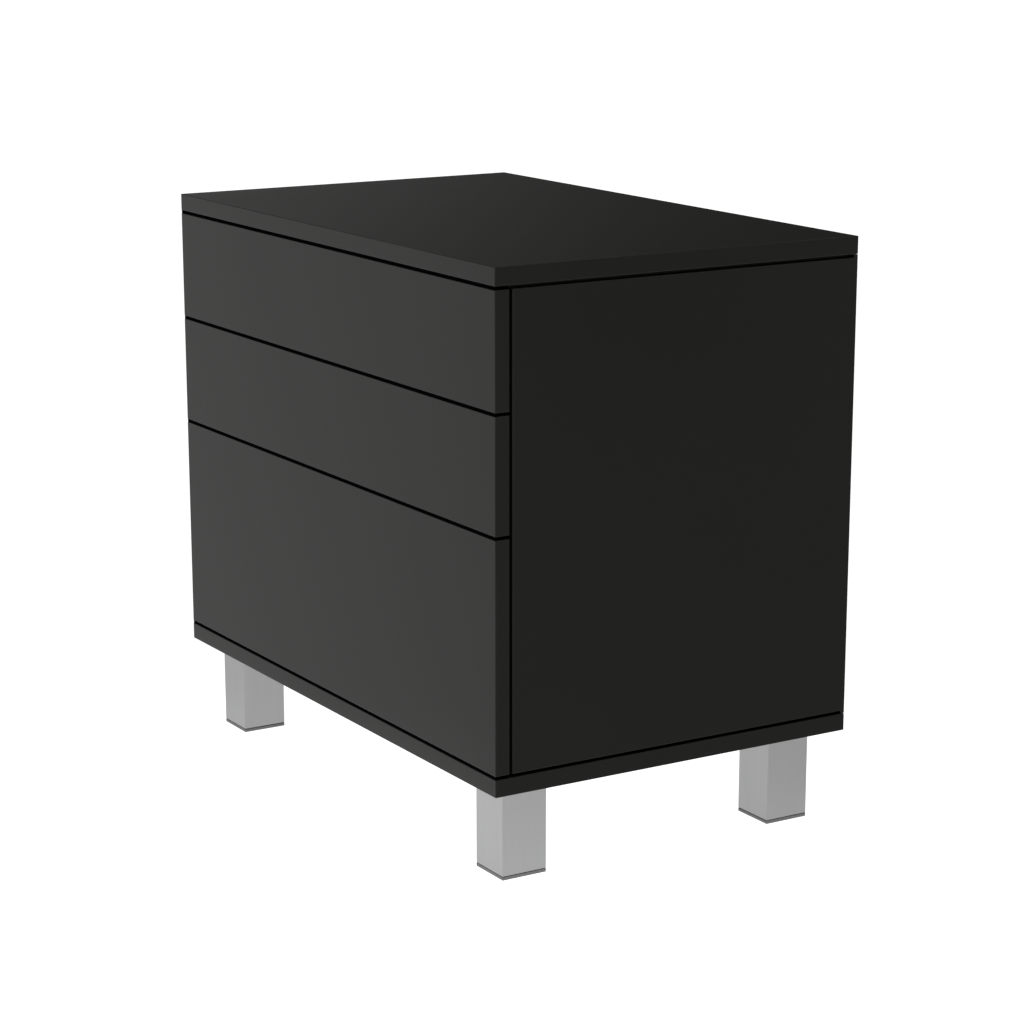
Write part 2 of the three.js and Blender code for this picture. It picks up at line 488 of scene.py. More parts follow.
def soften(piece, width, segments=2, slot=-1):    # rounds the sharp edges, in a material slot
    applyModifier(
        piece,
        "BEVEL",
        width=width,
        segments=segments,
        limit_method="ANGLE",
        angle_limit=math.radians(edges["bevelFrom"]),
        material=slot,
    )


def repeatPiece(piece, count, step):
    applyModifier(
        piece,
        "ARRAY",
        count=count,
        use_relative_offset=False,
        use_constant_offset=True,
        constant_offset_displace=step,
    )


def copyTo(piece, name, shift=(0, 0, 0), mirror=False):    # mirror is across the middle of the cabinet
    takeUp(piece)
    bpy.ops.object.duplicate(linked=False)
    twin = bpy.context.object
    twin.location = shift
    if mirror:
        twin.scale.x = -1
    twin = settle(name)
    if mirror:
        openEdit(twin)
        bpy.ops.mesh.select_all(action="SELECT")
        bpy.ops.mesh.remove_doubles(threshold=0.001 * mm)
        bpy.ops.mesh.normals_make_consistent(inside=False)
        closeEdit()
    return twin


def setMaterials(piece, *materials):
    piece.data.materials.clear()
    for material in materials:
        piece.data.materials.append(material)


def smooth(piece):
    takeUp(piece)
    bpy.ops.object.shade_smooth_by_angle(angle=math.radians(edges["smoothTo"]))
    applyModifier(piece, "WEIGHTED_NORMAL", keep_sharp=True)


def finish(piece, body, slot, *nodes):    # shades a piece, ties it to its body, and hides the CAD nodes it stands for
    smooth(piece)
    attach(piece, body)
    if nodes:
        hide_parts(*nodes)


def camel(*words):    # "drawer", "top", "side_left" make drawerTopSideLeft
    first, *rest = "_".join(words).split("_")
    return first + "".join(word.capitalize() for word in rest)


carcass = {
    "arris": 0.6 * mm,
    "backArris": 0.3 * mm,
    "rebate": 6 * mm,    # depth of the shadow gaps over and under a side panel
    "rebateStop": 4 * mm,    # from the rear edge to the end of those gaps
}


def grooveFor(node):    # a cutter with the shape of that node and its clearance
    low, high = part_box(node)
    room = Vector((fit, fit, fit))
    return addBlock("groove", low - room, high + room)


def makeBoard(node):
    piece = addBlock(camel(node), *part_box(node))
    combine(piece, "DIFFERENCE", grooveFor("back_panel"))
    setMaterials(piece, lacquer, lacquerArrisHighlight)
    soften(piece, carcass["arris"], slot=1)
    finish(piece, "cabinet", "black_lacquered_board", node)


def makeSidePanel(node, sign):
    low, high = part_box(node)
    face = high.x if sign > 0 else low.x
    step = carcass["rebate"]
    stepX = sorted((face - sign * step, face + sign * step))
    stepEnd = high.y - carcass["rebateStop"]
    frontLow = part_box("drawer_bottom_front")[0].z
    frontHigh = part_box("drawer_top_front")[1].z
    piece = addBlock(camel(node), low, high)
    combine(
        piece,
        "DIFFERENCE",
        addBlock("lowRebate", (stepX[0], low.y - step, low.z - step), (stepX[1], stepEnd, frontLow)),
        addBlock("highRebate", (stepX[0], low.y - step, frontHigh), (stepX[1], stepEnd, high.z + step)),
        grooveFor("back_panel"),
    )
    setMaterials(piece, lacquer, lacquerArrisHighlight)
    soften(piece, carcass["arris"], slot=1)
    finish(piece, "cabinet", "black_lacquered_board", node)


def makeBackPanel():
    piece = addBlock("backPanel", *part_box("back_panel"))
    setMaterials(piece, lacquer, lacquerArrisHighlight)
    soften(piece, carcass["backArris"], slot=1)
    finish(piece, "cabinet", "black_lacquered_board", "back_panel")


for node in ("top_board", "bottom_board"):
    makeBoard(node)
for end, sign in ends.items():
    makeSidePanel("side_panel_" + end, sign)
makeBackPanel()
print("carcass made")

leg = {
    "wall": 2 * mm,
    "corner": 0.8 * mm,
    "hollowCorner": 0.5 * mm,
    "cutEdge": 0.25 * mm,
    "capEdge": 0.7 * mm,
    "plugCorner": 1 * mm,
    "plugEdge": 0.6 * mm,
}


def makeTube(foot):    # a square block is hollowed out, then its uprights and sawn ends are rounded
    low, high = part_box("leg_tube_" + foot)
    centre = (low + high) / 2
    hollow = (high.x - low.x) / 2 - leg["wall"]
    piece = addBlock(camel("leg_tube", foot), low, high)
    openEdit(piece)
    pickFaces(piece, lambda at, normal: abs(normal.z) > 0.9)
    bpy.ops.mesh.inset(thickness=leg["wall"])
    bpy.ops.mesh.delete(type="FACE")
    near = leg["wall"] / 4
    pickEdges(
        piece,
        lambda at, along: abs(along.z) < 0.1
        and max(abs(at.x - centre.x), abs(at.y - centre.y)) < hollow + near,
    )
    bpy.ops.mesh.bridge_edge_loops()
    for reach, radius in ((hollow + leg["wall"], leg["corner"]), (hollow, leg["hollowCorner"])):
        pickEdges(
            piece,
            lambda at, along: abs(along.z) > 0.9
            and abs(abs(at.x - centre.x) - reach) < near,
        )
        bpy.ops.mesh.bevel(offset=radius, segments=5)
    closeEdit()
    setMaterials(piece, aluminium)
    soften(piece, leg["cutEdge"])
    finish(piece, "cabinet", "satin_aluminium", "leg_tube_" + foot)


def addPost(name, low, high, corner, edge, end):    # rounded uprights, and a rounded rim at an end
    piece = addBlock(name, low, high)
    openEdit(piece)
    pickEdges(piece, lambda at, along: abs(along.z) > 0.9)
    bpy.ops.mesh.bevel(offset=corner, segments=5)
    pickFaces(piece, lambda at, normal: abs(normal.z) > 0.9 and normal.z * end >= 0)
    bpy.ops.mesh.bevel(offset=edge, segments=3)
    closeEdit()
    return piece


def makeCap(foot):    # a square cap whose plug is pressed into the tube
    low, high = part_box("foot_cap_" + foot)
    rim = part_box("leg_tube_" + foot)[0].z - fit
    inset = leg["wall"] + fit
    plugLow = Vector((low.x + inset, low.y + inset, (low.z + rim) / 2))
    plugHigh = Vector((high.x - inset, high.y - inset, high.z))
    name = camel("foot_cap", foot)
    piece = addPost(name, low, (high.x, high.y, rim), leg["corner"], leg["capEdge"], 0)
    plug = addPost("plug", plugLow, plugHigh, leg["plugCorner"], leg["plugEdge"], 1)
    combine(piece, "UNION", plug)
    setMaterials(piece, greyPlastic)
    finish(piece, "cabinet", "grey_plastic", "foot_cap_" + foot)


for foot in feet:
    makeTube(foot)
    makeCap(foot)
    setMaterials(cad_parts["leg_insert_" + foot], blackPlastic)
    setMaterials(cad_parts["leg_bolt_" + foot], zincSteel)
print("legs made")

drawerBox = {
    "frontArris": 0.6 * mm,
    "arris": 0.4 * mm,
    "baseArris": 0.2 * mm,
    "camRadius": 6 * mm,
    "camDepth": 9 * mm,
    "camBack": 24 * mm,    # from the front end of a side to its cams
    "camEdge": 12 * mm,    # from its upper and lower edges to them
    "screwRadius": 3.5 * mm,
    "screwDepth": 4 * mm,
    "screwEdge": 16 * mm,
}
# the lips are near-black blades just behind the fronts: painted shade that keeps the gaps black to their
# ends
lip = {
    "setback": 0.45 * mm,
    "inset": 0.1 * mm,    # from the ends of the front to the ends of the blade
    "arris": 0.1 * mm,
    "thickness": 1.2 * mm,
    "foot": 3 * mm,
    "footStop": 4 * mm,
    "clear": 0.1 * mm,
}


def lipPlaces():    # each lip: its name, tier, the edge it stands on, and the edge it points to
    fronts = {tier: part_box(f"drawer_{tier}_front") for tier in tiers}
    panelLow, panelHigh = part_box("bottom_board")[1].z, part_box("top_board")[0].z
    return [
        ("dustLipTop", "top", fronts["top"][1].z, panelHigh),
        ("dustLipMiddle", "middle", fronts["middle"][1].z, fronts["top"][0].z),
        ("dustLipBottom", "bottom", fronts["bottom"][1].z, fronts["middle"][0].z),
        ("dustLipFoot", "bottom", fronts["bottom"][0].z, panelLow),
    ]


def lipBlade(name, tier, edge, target, room=0):
    # the blade and its foot; with some room round it, it is the cutter of its own slit
    low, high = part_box(f"drawer_{tier}_front")
    way = 1 if target > edge else -1
    front = low.y + lip["setback"] - room
    rear = low.y + lip["setback"] + lip["thickness"] + room
    tip = target - way * lip["clear"]
    bladeLow = (low.x + lip["inset"], front, min(edge, tip))
    bladeHigh = (high.x - lip["inset"], rear, max(edge, tip))
    blade = addBlock(name, bladeLow, bladeHigh)
    footEnd = high.x - lip["footStop"] + room
    openEdit(blade)
    splitAt(x=-footEnd)
    splitAt(x=footEnd)
    pickFaces(blade, lambda at, normal: normal.z * way < -0.9 and abs(at.x) < footEnd)
    pull(z=-way * (lip["foot"] + room))
    closeEdit()
    return blade


def makeFront(tier):
    piece = addBlock(camel("drawer", tier, "front"), *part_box(f"drawer_{tier}_front"))
    slits = [lipBlade("slit", *place[1:], room=fit / 2) for place in lipPlaces() if place[1] == tier]
    setMaterials(piece, lacquer, lacquerArrisHighlight)
    soften(piece, drawerBox["frontArris"], slot=1)
    combine(piece, "DIFFERENCE", grooveFor(f"drawer_{tier}_base"), *slits)
    finish(piece, "drawer_" + tier, "black_lacquered_board", f"drawer_{tier}_front")


def fittingPlaces(tier):    # where the cams and the rear screws of a side are: how far back and how high
    low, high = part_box(f"drawer_{tier}_side_right")
    backLow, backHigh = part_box(f"drawer_{tier}_back")
    heights = (low.z + drawerBox["camEdge"], high.z - drawerBox["camEdge"])
    screwHeights = (backLow.z + drawerBox["screwEdge"], high.z - drawerBox["screwEdge"])
    cams = [(low.y + drawerBox["camBack"], z) for z in heights]
    return cams, [((backLow.y + backHigh.y) / 2, z) for z in screwHeights]


def makeDrawerBoard(tier, part):    # a side or the back, with an edge band along its top
    node = f"drawer_{tier}_{part}"
    low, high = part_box(node)
    piece = addBlock(camel(node), low, high)
    if part != "back":
        sign = ends[part.split("_")[1]]
        face = high.x if sign > 0 else low.x
        cams, screws = fittingPlaces(tier)
        bores = [(at, drawerBox["camRadius"] + fit / 2, drawerBox["camDepth"]) for at in cams]
        bores += [(at, drawerBox["screwRadius"] + fit / 2, drawerBox["screwDepth"]) for at in screws]
        cutters = [
            addRod("bore", radius, (face - sign * depth, y, z), (face + sign * mm, y, z))
            for (y, z), radius, depth in bores
        ]
        combine(piece, "DIFFERENCE", grooveFor(f"drawer_{tier}_base"), *cutters)
    setMaterials(piece, board, edgeBand)
    soften(piece, drawerBox["arris"])
    openEdit(piece)
    pickFaces(piece, lambda at, normal: normal.z > 0.5 and at.z > high.z - mm)
    piece.active_material_index = 1
    bpy.ops.object.material_slot_assign()
    closeEdit()
    finish(piece, "drawer_" + tier, "drawer_board", node)


def makeBase(tier):
    node = f"drawer_{tier}_base"
    piece = addBlock(camel(node), *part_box(node))
    setMaterials(piece, baseBoard)
    soften(piece, drawerBox["baseArris"])
    finish(piece, "drawer_" + tier, "drawer_base_board", node)


def makeGapShadeLip(name, tier, edge, target):    # closes the shadow gap a little way in, and never rubs; its near-black, sheenless blade is painted shade for the gap
    piece = lipBlade(name, tier, edge, target)
    setMaterials(piece, gapShadeVinyl)
    soften(piece, lip["arris"])
    finish(piece, "drawer_" + tier, "black_plastic")


for tier in tiers:
    makeFront(tier)
    for part in ("side_left", "side_right", "back"):
        makeDrawerBoard(tier, part)
    makeBase(tier)
for place in lipPlaces():
    makeGapShadeLip(*place)
print("drawer boxes made")

screw = {
    "radius": 3.4 * mm,
    "height": 1.7 * mm,
    "round": 0.9 * mm,
    "shank": 2 * mm,
    "recess": 1.9 * mm,
    "slot": 0.9 * mm,
    "depth": 1 * mm,
    "deepest": 0.7,    # of the height of a thin head
}


def addScrew(name, at, out, below=0, radius=screw["radius"], height=screw["height"]):
    # a head that stands out of a face, a cross recess in it, and a short shank below the face
    at, out = Vector(at), Vector(out)
    piece = addRod(name, radius, at, at + out * height, sides=24)
    openEdit(piece)
    pickFaces(piece, lambda middle, normal: normal.dot(out) > 0.9)
    bpy.ops.mesh.bevel(offset=min(screw["round"], height / 2), segments=3)
    if below:
        pickFaces(piece, lambda middle, normal: normal.dot(out) < -0.9)
        bpy.ops.mesh.inset(thickness=radius - screw["shank"])
        pull(*(-out * below))
    closeEdit()
    reach = radius * screw["recess"] / screw["radius"]
    floor = min(screw["depth"], height * screw["deepest"])
    flat = Vector([1 - abs(part) for part in out])
    for axis in [a for a in ((1, 0, 0), (0, 1, 0), (0, 0, 1)) if Vector(a).dot(flat)]:
        arm = Vector(axis)
        other = flat - arm
        half = arm * reach + other * screw["slot"] / 2 + Vector([abs(part) for part in out]) * floor
        centre = at + out * height
        combine(piece, "DIFFERENCE", addBlock("recess", centre - half, centre + half))
    return piece


def placeCopies(piece, name, body, places):
    # each place is a word for the name, a shift, and whether the copy is mirrored
    smooth(piece)
    for word, shift, mirror in places:
        twin = copyTo(piece, name + word, shift, mirror)
        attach(twin, body)
    takeUp(piece)
    bpy.ops.object.delete()


def makeBoxFittings(tier):    # the cams that hold a front, and the screws that hold the back
    low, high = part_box(f"drawer_{tier}_side_right")
    cams, screws = fittingPlaces(tier)
    sunk = 0.2 * mm
    for kind, places, radius, depth, material in (
        ("cam", cams, drawerBox["camRadius"], drawerBox["camDepth"] - mm, castZinc),
        ("backScrew", screws, drawerBox["screwRadius"], drawerBox["screwDepth"] - mm, zincSteel),
    ):
        y, z = places[0]
        piece = addScrew(kind, (high.x - sunk - depth, y, z), (1, 0, 0), radius=radius, height=depth)
        setMaterials(piece, material)
        rise = places[1][1] - z
        placeCopies(
            piece,
            kind + tier.capitalize(),
            "drawer_" + tier,
            [
                (end.capitalize() + word, (0, 0, shift), sign < 0)
                for end, sign in ends.items()
                for word, shift in (("Low", 0), ("High", rise))
            ],
        )


for tier in tiers:
    makeBoxFittings(tier)
print("box fittings made")

slide = {
    "sheet": 1.2 * mm,
    "lip": 2.6 * mm,
    "bend": 0.8 * mm,
    "cutEdge": 0.12 * mm,
    "screwsAt": (37 * mm, 133 * mm, 261 * mm),    # from the front end of a member
    "slotsAt": (85 * mm, 197 * mm),
    "slotLength": 9 * mm,
    "holeRadius": 2.3 * mm,
    "windowsAt": (24 * mm, 120 * mm, 216 * mm),    # holes in a middle member, for a screwdriver
    "windowRadius": 4.5 * mm,
    "cageSheet": 0.4 * mm,
    "ballRadius": 1.8 * mm,
    "ballStep": 11.5 * mm,
    "ballCount": 12,
    "pocketRoom": 0.1 * mm,    # round each ball in its cage
    "cageEnd": 6 * mm,    # beyond the last ball
    "windowCount": 4,    # openings in the web of a cage
    "windowSpan": 2,    # their length and their step, in steps of the balls
    "windowStep": 3,
    "drillReach": 3 * mm,    # how far a drill runs past the middle of a web
    "cabinetHead": 0.7 * mm,    # a flat screw head, sunk into the web
    "cabinetSeat": 0.55 * mm,
    "cabinetShank": 0.4 * mm,
    "contact": 0.02 * mm,    # keeps touching faces apart
    "lever": (58 * mm, 7 * mm, 2.2 * mm),
    "leverAt": 58 * mm,
    "leverGap": 0.1 * mm,    # between the lever and the web
    "leverEnd": 0.4,    # roundness of its ends, of its height
    "leverRim": 1 * mm,
    "leverDish": 0.6 * mm,
    "leverArris": 0.3 * mm,
}
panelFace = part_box("side_panel_right")[0].x
slideLow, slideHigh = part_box("slide_top_right_cabinet_member")
slideMiddle = (slideLow.z + slideHigh.z) / 2
members = {"cabinet": "cabinet", "middle": "slide_carriage_{}", "drawer": "drawer_{}"}


def inFrom(distance):    # the x of a place that far in from the right side panel
    return panelFace - distance


def addChannel(name, web, tip, half, start, end, sheet, turned=0):
    # a web, two flanges drawn out of it to the tip, and lips turned in at their ends
    way = 1 if tip > web else -1
    inner = web + way * sheet
    piece = addBlock(
        name,
        (min(web, inner), start, slideMiddle - half),
        (max(web, inner), end, slideMiddle + half),
    )
    openEdit(piece)
    splitAt(z=slideMiddle - half + sheet)
    splitAt(z=slideMiddle + half - sheet)
    edge = half - sheet
    pickFaces(piece, lambda at, normal: normal.x * way > 0.9 and abs(at.z - slideMiddle) > edge)
    pull(x=tip - inner - way * sheet)
    pull(x=way * sheet)
    nearTip = sheet * 0.6
    for side in (-1, 1) if turned else ():
        pickFaces(
            piece,
            lambda at, normal: normal.z * side < -0.9
            and (at.z - slideMiddle) * side > 0
            and abs(at.x - tip) < nearTip,
        )
        pull(z=-side * (turned - sheet))
    return piece


def bendEdges(piece, web, tip, half, sheet):    # rounds the folds of an open channel, outside and inside
    near = 0.01 * mm
    pickEdges(
        piece,
        lambda at, along: abs(along.y) > 0.9
        and abs(abs(at.z - slideMiddle) - half) < near
        and min(abs(at.x - web), abs(at.x - tip)) < near,
    )
    bpy.ops.mesh.bevel(offset=min(slide["bend"], sheet * 0.9), segments=3)
    closeEdit()


def makeMember(kind):    # the top right member of that kind, with its holes
    low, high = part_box(f"slide_top_right_{kind}_member")
    web, tip = (low.x, high.x) if kind == "drawer" else (high.x, low.x)
    half = (high.z - low.z) / 2
    piece = addChannel("member", web, tip, half, low.y, high.y, slide["sheet"], slide["lip"])
    bendEdges(piece, web, tip, half, slide["sheet"])
    reach = slide["drillReach"]

    def drill(radius, y):    # a cutter through the web, that far from the front end
        at = low.y + y
        return addRod("drill", radius, (web - reach, at, slideMiddle), (web + reach, at, slideMiddle))

    if kind == "middle":
        cutters = [drill(slide["windowRadius"], y) for y in slide["windowsAt"]]
    else:
        cutters = [drill(slide["holeRadius"], y) for y in slide["screwsAt"]]
        for y in slide["slotsAt"]:
            slot = drill(slide["holeRadius"], y)
            openEdit(slot)
            pickFaces(slot, lambda at, normal: normal.y > 0.01)
            bpy.ops.transform.translate(value=(0, slide["slotLength"], 0))
            closeEdit()
            cutters.append(slot)
    combine(piece, "DIFFERENCE", *cutters)
    setMaterials(piece, zincSteel)
    soften(piece, slide["cutEdge"], segments=1)
    return piece


cages = {    # distances in from the side panel, from the slide's middle line and from its front end
    "outer": {"web": 1.75 * mm, "tip": 7.2 * mm, "row": 19.45 * mm, "balls": 5 * mm, "start": 154 * mm},
    "inner": {"web": 3.85 * mm, "tip": 9.4 * mm, "row": 14.55 * mm, "balls": 7.5 * mm, "start": 4 * mm},
}


def makeCage(kind):    # a thin channel with a pocket for each ball, and the two rows of balls
    cage = cages[kind]
    sheet = slide["cageSheet"]
    half = cage["row"] + sheet / 2
    start = slideLow.y + cage["start"]
    first = start + slide["cageEnd"]
    end = first + (slide["ballCount"] - 1) * slide["ballStep"] + slide["cageEnd"]
    web, tip = inFrom(cage["web"]), inFrom(cage["tip"])
    plate = addChannel("cage", web, tip, half, start, end, sheet)
    bendEdges(plate, web, tip, half, sheet)
    x = inFrom(cage["balls"])
    pocket = addRod(
        "pocket",
        slide["ballRadius"] + slide["pocketRoom"],
        (x, first, slideMiddle - 2 * half),
        (x, first, slideMiddle + 2 * half),
        sides=16,
    )
    repeatPiece(pocket, slide["ballCount"], (0, slide["ballStep"], 0))
    combine(plate, "DIFFERENCE", pocket)
    window = addBlock(
        "window",
        (web - mm, first, slideMiddle - cage["row"] / 2),
        (web + mm, first + slide["ballStep"] * slide["windowSpan"], slideMiddle + cage["row"] / 2),
    )
    repeatPiece(window, slide["windowCount"], (0, slide["ballStep"] * slide["windowStep"], 0))
    combine(plate, "DIFFERENCE", window)
    setMaterials(plate, zincSteel)
    deselectAll()
    bpy.ops.mesh.primitive_uv_sphere_add(
        segments=10,
        ring_count=6,
        radius=slide["ballRadius"],
        location=(x, first, slideMiddle - cage["row"]),
    )
    balls = settle("balls")
    repeatPiece(balls, slide["ballCount"], (0, slide["ballStep"], 0))
    repeatPiece(balls, 2, (0, 0, 2 * cage["row"]))
    setMaterials(balls, ballSteel)
    return plate, balls


def makeLever():    # the nylon lever that frees a drawer from its slide
    low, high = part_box("slide_top_right_drawer_member")
    length, height, thickness = slide["lever"]
    face = low.x + slide["sheet"] + slide["leverGap"]
    start = low.y + slide["leverAt"]
    piece = addBlock(
        "lever",
        (face, start, slideMiddle - height / 2),
        (face + thickness, start + length, slideMiddle + height / 2),
    )
    openEdit(piece)
    pickEdges(piece, lambda at, along: abs(along.x) > 0.9)
    bpy.ops.mesh.bevel(offset=height * slide["leverEnd"], segments=5)
    pickFaces(piece, lambda at, normal: normal.x > 0.9)
    bpy.ops.mesh.inset(thickness=slide["leverRim"])
    bpy.ops.transform.translate(value=(-slide["leverDish"], 0, 0))
    closeEdit()
    setMaterials(piece, blackPlastic)
    soften(piece, slide["leverArris"])
    return piece


def slideShift(tier):
    low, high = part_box(f"slide_{tier}_right_cabinet_member")
    return (0, 0, (low.z + high.z) / 2 - slideMiddle)


def placeOnSlides(piece, name, body, node=""):
    # a piece of the top right slide, copied to all six slides
    smooth(piece)
    for tier in tiers:
        for end, sign in ends.items():
            twin = copyTo(piece, camel("slide", tier, end, name), slideShift(tier), sign < 0)
            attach(twin, body.format(tier))
            if node:
                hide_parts(node.format(tier=tier, end=end))
    takeUp(piece)
    bpy.ops.object.delete()


def makeSlideScrews(kind):    # three screws through a web, which stand on it or are sunk in it
    low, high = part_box(f"slide_top_right_{kind}_member")
    if kind == "drawer":
        way, height, below = 1, screw["height"], slide["sheet"]
        seat = low.x + slide["sheet"] + slide["contact"]
    else:
        way, height, below = -1, slide["cabinetHead"], slide["cabinetShank"]
        seat = high.x - slide["sheet"] + slide["cabinetSeat"]
    heads = [
        addScrew("screw", (seat, low.y + y, slideMiddle), (way, 0, 0), below, height=height)
        for y in slide["screwsAt"]
    ]
    piece = joinPieces(heads, "screws")
    setMaterials(piece, zincSteel)
    return piece


for kind, body in members.items():
    node = "slide_{tier}_{end}_" + kind + "_member"
    placeOnSlides(makeMember(kind), kind + "_member", body, node=node)
for kind in cages:
    plate, balls = makeCage(kind)
    placeOnSlides(plate, kind + "_cage", members["middle"])
    placeOnSlides(balls, kind + "_balls", members["middle"])
for kind in ("cabinet", "drawer"):
    placeOnSlides(makeSlideScrews(kind), kind + "_screws", members[kind])
placeOnSlides(makeLever(), "lever", members["drawer"])
print("slides made")

latch = {
    "plateThickness": 3 * mm,
    "plateCorner": 4 * mm,
    "barrelCorner": 5 * mm,
    "barrelInset": 1 * mm,
    "bore": 4.3 * mm,
    "collar": 0.7,    # radius of the sunk mouth, of half the barrel
    "rib": 1.8 * mm,
    "ribReach": 7 * mm,
    "ribLength": 20 * mm,
    "screwEdge": 6 * mm,
    "tipThickness": 3 * mm,
    "tipRound": 1.3 * mm,
    "shaftRadius": 4 * mm,
    "arris": 0.35 * mm,
}


def makeHousing(tier):    # a barrel on a flange, with two ribs between them and a bore for the plunger
    low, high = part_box(f"latch_{tier}_housing")
    centre = (low.z + high.z) / 2
    plateFront = high.y - latch["plateThickness"]
    half = (high.x - low.x) / 2
    piece = addBlock(camel("latch", tier, "housing"), (low.x, plateFront, low.z), high)
    openEdit(piece)
    pickEdges(piece, lambda at, along: abs(along.y) > 0.9)
    bpy.ops.mesh.bevel(offset=latch["plateCorner"], segments=5)
    closeEdit()
    side = half - latch["barrelInset"]
    barrel = addBlock("barrel", (-side, low.y, centre - side), (side, plateFront + mm, centre + side))
    openEdit(barrel)
    pickEdges(barrel, lambda at, along: abs(along.y) > 0.9)
    bpy.ops.mesh.bevel(offset=latch["barrelCorner"], segments=6)
    closeEdit()
    reach = side + latch["ribReach"]
    rib = addBlock(
        "rib",
        (-latch["rib"] / 2, plateFront - latch["ribLength"], centre - reach),
        (latch["rib"] / 2, plateFront + mm, centre + reach),
    )
    openEdit(rib)    # the ribs run out towards the mouth of the barrel
    pickEdges(rib, lambda at, along: abs(along.x) > 0.9 and at.y < plateFront - mm)
    bpy.ops.mesh.bevel(offset=latch["ribReach"] - mm, segments=1)
    closeEdit()
    combine(piece, "UNION", barrel, rib)
    bore = addRod("bore", latch["bore"], (0, low.y - mm, centre), (0, plateFront, centre))
    mouth = side * latch["collar"]
    collar = addRod("collar", mouth, (0, low.y - mm, centre), (0, low.y + mm, centre))
    combine(piece, "DIFFERENCE", bore, collar)
    setMaterials(piece, blackPlastic)
    soften(piece, latch["arris"])
    finish(piece, "cabinet", "black_plastic", f"latch_{tier}_housing")
    for word, z in (("upper", high.z - latch["screwEdge"]), ("lower", low.z + latch["screwEdge"])):
        for end, sign in ends.items():
            name = camel("latch_screw", tier, word, end)
            seat = plateFront - slide["contact"]
            fixing = addScrew(name, (sign * half / 2, seat, z), (0, -1, 0))
            setMaterials(fixing, zincSteel)
            finish(fixing, "cabinet", "zinc_plated_steel")


def makePlunger(tier):    # a shaft that widens to a soft-edged round tip
    low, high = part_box(f"latch_{tier}_plunger")
    centre = (low.z + high.z) / 2
    radius = (high.x - low.x) / 2
    neck = low.y + latch["tipThickness"]
    name = camel("latch", tier, "plunger")
    piece = addRod(name, latch["shaftRadius"], (0, high.y, centre), (0, neck, centre))
    openEdit(piece)
    pickFaces(piece, lambda at, normal: normal.y < -0.9)
    grow = radius / latch["shaftRadius"]
    pull()
    bpy.ops.transform.resize(value=(grow, 1, grow), center_override=(0, neck, centre))
    pull(y=-latch["tipThickness"])
    bpy.ops.mesh.bevel(offset=latch["tipRound"], segments=4)
    closeEdit()
    setMaterials(piece, tipPlastic)
    soften(piece, latch["arris"])
    finish(piece, "latch_plunger_" + tier, "grey_plastic", f"latch_{tier}_plunger")


for tier in tiers:
    makeHousing(tier)
    makePlunger(tier)
print("latches made")

studio = {
    "floor": "#686868",
    "floorSize": 60,
    "floorRoughness": 0.9,
    "floorSpecular": 0.1,
    "glow": (0.93, 1.28),    # the floor is a lit sheet, so it stays white under the cabinet
    "glowEdge": (2.27, 1.01),    # the glow falls off across a line through this point
    "glowHeading": 208,
    "glowWidth": 0.35,
    "underGlow": 0.28,    # added to the glow under the cabinet
    "underReach": (0.2, 0.5),    # from its middle, where that starts to fade and is gone
    "sun": 2.2,
    "sunSpread": 40,
    "dim": 0.034,    # the darker side of the room
    "bright": 0.162,
    "edgeHeading": 151.5,    # the heading where one side gives way to the other
    "edgeWidth": 0.16,
    "shade": 0.8,    # a little way up, both sides are this much darker
    "shadeFrom": (0.115, 0.13),    # the heights, as sines, where that starts and is full
    "canopy": 0.7,    # a pale cloth over the object
    "canopyFrom": (0.45, 0.95),    # the heights, as sines, where it starts and is full
    "backdrop": 1,
}


def makeFloor():
    deselectAll()
    bpy.ops.mesh.primitive_plane_add(size=studio["floorSize"], location=(0, 0, cadLow.z))
    floor = settle("floor")
    material, tree, where = startMaterial("matt white lit acrylic sheet")
    heading = math.radians(studio["glowHeading"])
    across = Vector((-math.sin(heading), math.cos(heading), 0))
    start = Vector((*studio["glowEdge"], 0)).dot(across)
    side = addNode(tree, "ShaderNodeVectorMath", {1: across}, {0: where}, operation="DOT_PRODUCT")
    width = studio["glowWidth"]
    weak, strong = studio["glow"]
    glow = addNode(
        tree,
        "ShaderNodeMapRange",
        {"From Min": start - width, "From Max": start + width, "To Min": weak, "To Max": strong},
        {"Value": side.outputs["Value"]},
        interpolation_type="SMOOTHSTEP",
    )
    reach = addNode(tree, "ShaderNodeVectorMath", links={0: where}, operation="LENGTH")
    near, far = studio["underReach"]
    under = addNode(
        tree,
        "ShaderNodeMapRange",
        {"From Min": near, "From Max": far, "To Min": studio["underGlow"], "To Max": 0},
        {"Value": reach.outputs["Value"]},
        interpolation_type="SMOOTHSTEP",
    )
    parts = {0: glow.outputs["Result"], 1: under.outputs["Result"]}
    lit = addNode(tree, "ShaderNodeMath", links=parts, operation="ADD")
    shader = addNode(
        tree,
        "ShaderNodeBsdfPrincipled",
        {
            "Base Color": linear(studio["floor"]),
            "Roughness": studio["floorRoughness"],
            "Specular IOR Level": studio["floorSpecular"],
            "Emission Color": (1, 1, 1, 1),
        },
        {"Emission Strength": lit.outputs["Value"]},
    )
    addNode(tree, "ShaderNodeOutputMaterial", links={"Surface": shader.outputs["BSDF"]})
    setMaterials(floor, material)


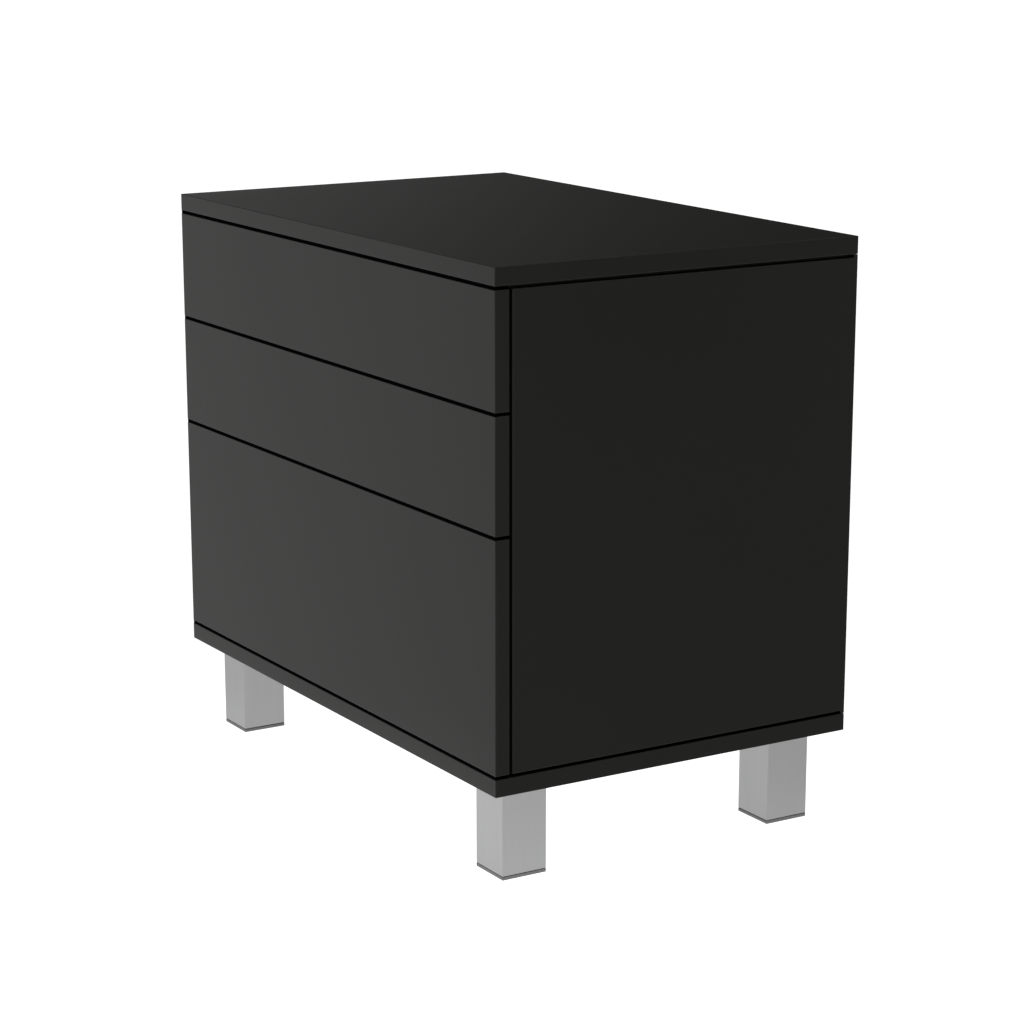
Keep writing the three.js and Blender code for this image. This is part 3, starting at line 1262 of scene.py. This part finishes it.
def lightRoom():    # a dim room, darker on one side, under a pale canopy
    world = bpy.data.worlds.new("studio")
    world.use_nodes = True
    tree = world.node_tree
    tree.nodes.clear()
    heading = math.radians(studio["edgeHeading"])
    across = (math.sin(heading), -math.cos(heading), 0)
    where = addNode(tree, "ShaderNodeTexCoord").outputs["Generated"]
    side = addNode(tree, "ShaderNodeVectorMath", {1: across}, {0: where}, operation="DOT_PRODUCT")
    edge = {
        "From Min": -studio["edgeWidth"],
        "From Max": studio["edgeWidth"],
        "To Min": studio["bright"],
        "To Max": studio["dim"],
    }
    level = addNode(
        tree,
        "ShaderNodeMapRange",
        edge,
        {"Value": side.outputs["Value"]},
        interpolation_type="SMOOTHSTEP",
    )
    height = addNode(tree, "ShaderNodeSeparateXYZ", links={0: where}).outputs["Z"]
    shadeLow, shadeHigh = studio["shadeFrom"]
    shade = addNode(
        tree,
        "ShaderNodeMapRange",
        {"From Min": shadeLow, "From Max": shadeHigh, "To Min": 1, "To Max": studio["shade"]},
        {"Value": height},
        interpolation_type="SMOOTHSTEP",
    )
    low, high = studio["canopyFrom"]
    canopy = addNode(
        tree,
        "ShaderNodeMapRange",
        {"From Min": low, "From Max": high, "To Max": studio["canopy"]},
        {"Value": height},
        interpolation_type="SMOOTHSTEP",
    )
    parts = {0: level.outputs["Result"], 1: shade.outputs["Result"], 2: canopy.outputs["Result"]}
    lit = addNode(tree, "ShaderNodeMath", links=parts, operation="MULTIPLY_ADD")
    room = addNode(tree, "ShaderNodeBackground", links={"Strength": lit.outputs["Value"]})
    backdrop = addNode(tree, "ShaderNodeBackground", {"Strength": studio["backdrop"]})
    for light in (room, backdrop):
        light.inputs["Color"].default_value = (1, 1, 1, 1)
    seen = addNode(tree, "ShaderNodeLightPath").outputs["Is Camera Ray"]
    both = addNode(
        tree,
        "ShaderNodeMixShader",
        links={0: seen, 1: room.outputs["Background"], 2: backdrop.outputs["Background"]},
    )
    addNode(tree, "ShaderNodeOutputWorld", links={"Surface": both.outputs["Shader"]})
    bpy.context.scene.world = world


def hangSoftLight():    # one broad light overhead
    data = bpy.data.lights.new("skylight", "SUN")
    data.energy = studio["sun"]
    data.angle = math.radians(studio["sunSpread"])
    lamp = bpy.data.objects.new("skylight", data)
    bpy.context.collection.objects.link(lamp)


makeFloor()
lightRoom()
hangSoftLight()
bpy.context.scene.view_settings.view_transform = "Standard"
print("studio lit")
